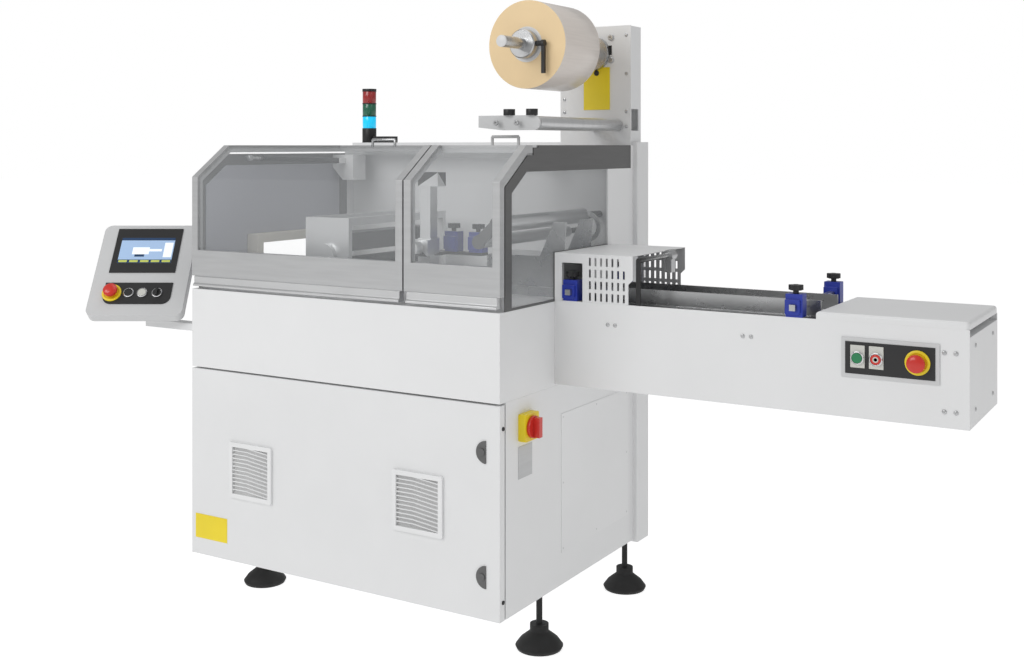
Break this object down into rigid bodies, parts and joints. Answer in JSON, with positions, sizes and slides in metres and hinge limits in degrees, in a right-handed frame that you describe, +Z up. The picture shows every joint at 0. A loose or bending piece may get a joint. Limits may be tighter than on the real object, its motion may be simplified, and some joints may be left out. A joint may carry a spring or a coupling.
{
  "type": "horizontal flow wrapper",
  "caption": "Horizontal flow wrapper: white cabinet with louvred door, clear lifting guards, long infeed conveyor with tunnel guard, film reel on a column, signal tower and a swivelling operator panel.",
  "frame": {"origin": "middle of the footprint at floor level", "axes": "+X along the conveyor towards the infeed end, +Y from the operator's side to the rear, +Z up"},
  "size_m": [2.3766, 0.9459, 1.656],
  "materials": {
    "white_paint": "fine textured powder coat",
    "grey_paint": "satin powder coat",
    "dark_grey_paint": "satin powder coat",
    "blue_grey_panel": "tinted sheet, half clear",
    "clear_pane": "clear polycarbonate",
    "black_plastic": "moulded",
    "black_metal": "satin black",
    "steel": "brushed",
    "aluminium": "anodised",
    "blue_plastic": "moulded",
    "yellow_plastic": "moulded",
    "red_plastic": "moulded",
    "film": "wound film",
    "lens": "coloured lens",
    "screen": "screen in a dark bezel",
    "beige_paint": "satin powder coat"
  },
  "bodies": {
    "cabinet": {"cabinet_floor": "white_paint", "cabinet_left_wall": "white_paint", "cabinet_right_wall": "white_paint", "door_frame": "white_paint", "upper_housing": "white_paint", "rear_wall": "white_paint", "rear_cover": "white_paint", "levelling_feet": "black_plastic", "switch_base": "yellow_plastic", "top_cover": "grey_paint", "right_end_frame": "dark_grey_paint", "right_end_pane": "clear_pane", "left_end_frame": "dark_grey_paint", "left_end_pane": "blue_grey_panel", "exit_hood": "beige_paint", "spring_bracket": "white_paint", "conveyor_beam": "white_paint", "conveyor_bed": "dark_grey_paint", "infeed_chain": "steel", "end_lid": "white_paint", "tunnel_guard": "white_paint", "guide_rails": "steel", "rail_clamps": "blue_plastic", "clamp_knobs": "black_plastic", "photo_eye": "steel", "control_plate": "grey_paint", "control_buttons": "red_plastic", "unwinder_column": "white_paint", "spindle_flange": "steel", "idler_rollers": "aluminium", "idler_link": "grey_paint", "tower_base": "black_plastic", "tower_lenses": "lens", "panel_arm": "white_paint", "product_table": "steel", "jaw_frame": "aluminium", "jaw_tools": "black_metal", "height_post": "aluminium", "film_rollers": "aluminium", "film_former": "steel"},
    "door": {"cabinet_door": "white_paint", "door_vents": "grey_paint", "door_locks": "dark_grey_paint"},
    "main_switch_grip": {"switch_grip": "red_plastic"},
    "guard_left": {"guard_left_frame": "grey_paint", "guard_left_pane": "clear_pane", "guard_left_sill": "aluminium", "guard_left_grip": "black_plastic"},
    "guard_right": {"guard_right_frame": "grey_paint", "guard_right_pane": "clear_pane", "guard_right_sill": "aluminium"},
    "gas_spring_tube": {"spring_tube": "black_metal"},
    "gas_spring_rod": {"spring_rod": "steel"},
    "reel": {"film_reel": "film", "spindle": "steel", "clamp_lever": "black_plastic"},
    "operator_panel": {"panel_housing": "grey_paint", "panel_plates": "screen", "panel_controls": "red_plastic"}
  },
  "joints": [
    {"name": "door_swing", "type": "hinge", "parent": "cabinet", "child": "door", "pos_m": [-0.8227, -0.3127, 0.4], "axis": [0, 0, -1], "range_deg": [0, 110]},
    {"name": "main_switch_turn", "type": "hinge", "parent": "cabinet", "child": "main_switch_grip", "pos_m": [0.2143, -0.2192, 0.594], "axis": [1, 0, 0], "range_deg": [0, 90]},
    {"name": "guard_left_lift", "type": "hinge", "parent": "cabinet", "child": "guard_left", "pos_m": [-0.4157, 0.3138, 1.266], "axis": [-1, 0, 0], "range_deg": [0, 70]},
    {"name": "guard_right_lift", "type": "hinge", "parent": "cabinet", "child": "guard_right", "pos_m": [0.0443, -0.1722, 1.266], "axis": [-1, 0, 0], "range_deg": [0, 85]},
    {"name": "gas_spring_swing", "type": "hinge", "parent": "cabinet", "child": "gas_spring_tube", "pos_m": [-0.7737, 0.2478, 1.228], "axis": [-1, 0, 0], "range_deg": [0, 74.3]},
    {"name": "gas_spring_stroke", "type": "slide", "parent": "gas_spring_tube", "child": "gas_spring_rod", "axis": [0, -0.9995, 0.0301], "range_m": [0, 0.083]},
    {"name": "reel_spin", "type": "hinge", "parent": "cabinet", "child": "reel", "pos_m": [0.0703, 0.0638, 1.54], "axis": [0, 1, 0], "continuous": true},
    {"name": "panel_swivel", "type": "hinge", "parent": "cabinet", "child": "operator_panel", "pos_m": [-1.0107, -0.2862, 0.756], "axis": [0, 0, 1], "range_deg": [-20, 45]}
  ],
  "couplings": [
    {"joint": "gas_spring_swing", "follows": "guard_left_lift", "ratio": 1.0591},
    {"joint": "gas_spring_stroke", "follows": "guard_left_lift", "m_per_rad": 0.06668}
  ]
}
